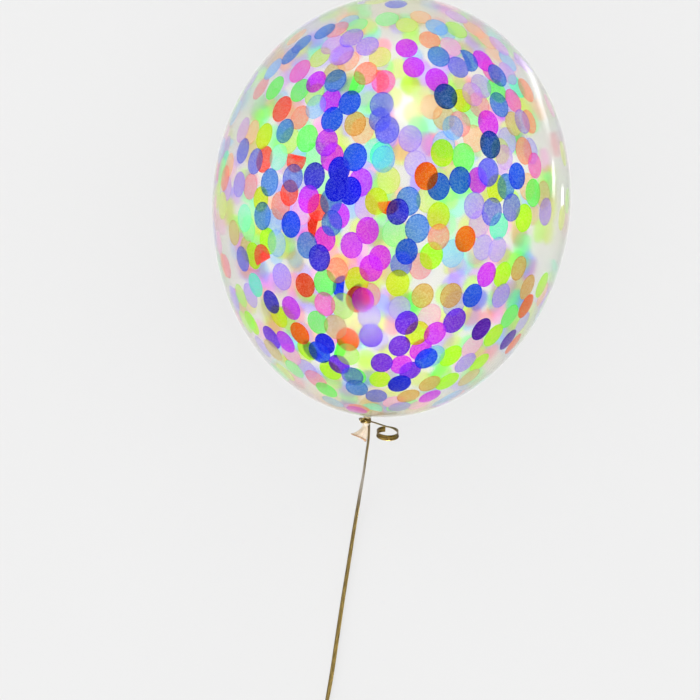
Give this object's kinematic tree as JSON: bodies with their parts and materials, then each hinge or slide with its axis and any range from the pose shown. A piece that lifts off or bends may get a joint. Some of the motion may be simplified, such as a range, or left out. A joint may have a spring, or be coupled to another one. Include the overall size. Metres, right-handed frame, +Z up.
{
  "type": "confetti balloon",
  "caption": "Clear latex party balloon with tissue confetti sealed inside, lying on its side, its neck tied with a metallic curling ribbon.",
  "frame": {"origin": "centre of the small flat spot under the balloon, on the surface that it lies on", "axes": "+Z up, +Y along the balloon's axis from the knot to the crown, +X to the right seen from above with the crown away"},
  "size_m": [0.2996, 0.6925, 0.2982],
  "materials": {
    "clear_latex": "clear, smooth and glossy, slightly milky",
    "gold_ribbon": "metallised satin gold with fine lengthwise ribs",
    "paper_band": "matt off-white paper",
    "tissue_confetti": "matt tissue paper in many plain colours, sealed inside the envelope"
  },
  "bodies": {
    "root": {"balloon_envelope": "clear_latex", "balloon_tail": "clear_latex", "ribbon_knot": "gold_ribbon", "ribbon_long_end": "gold_ribbon", "ribbon_short_end": "gold_ribbon", "ribbon_coil": "gold_ribbon", "coil_tie": "paper_band"}
  },
  "joints": []
}
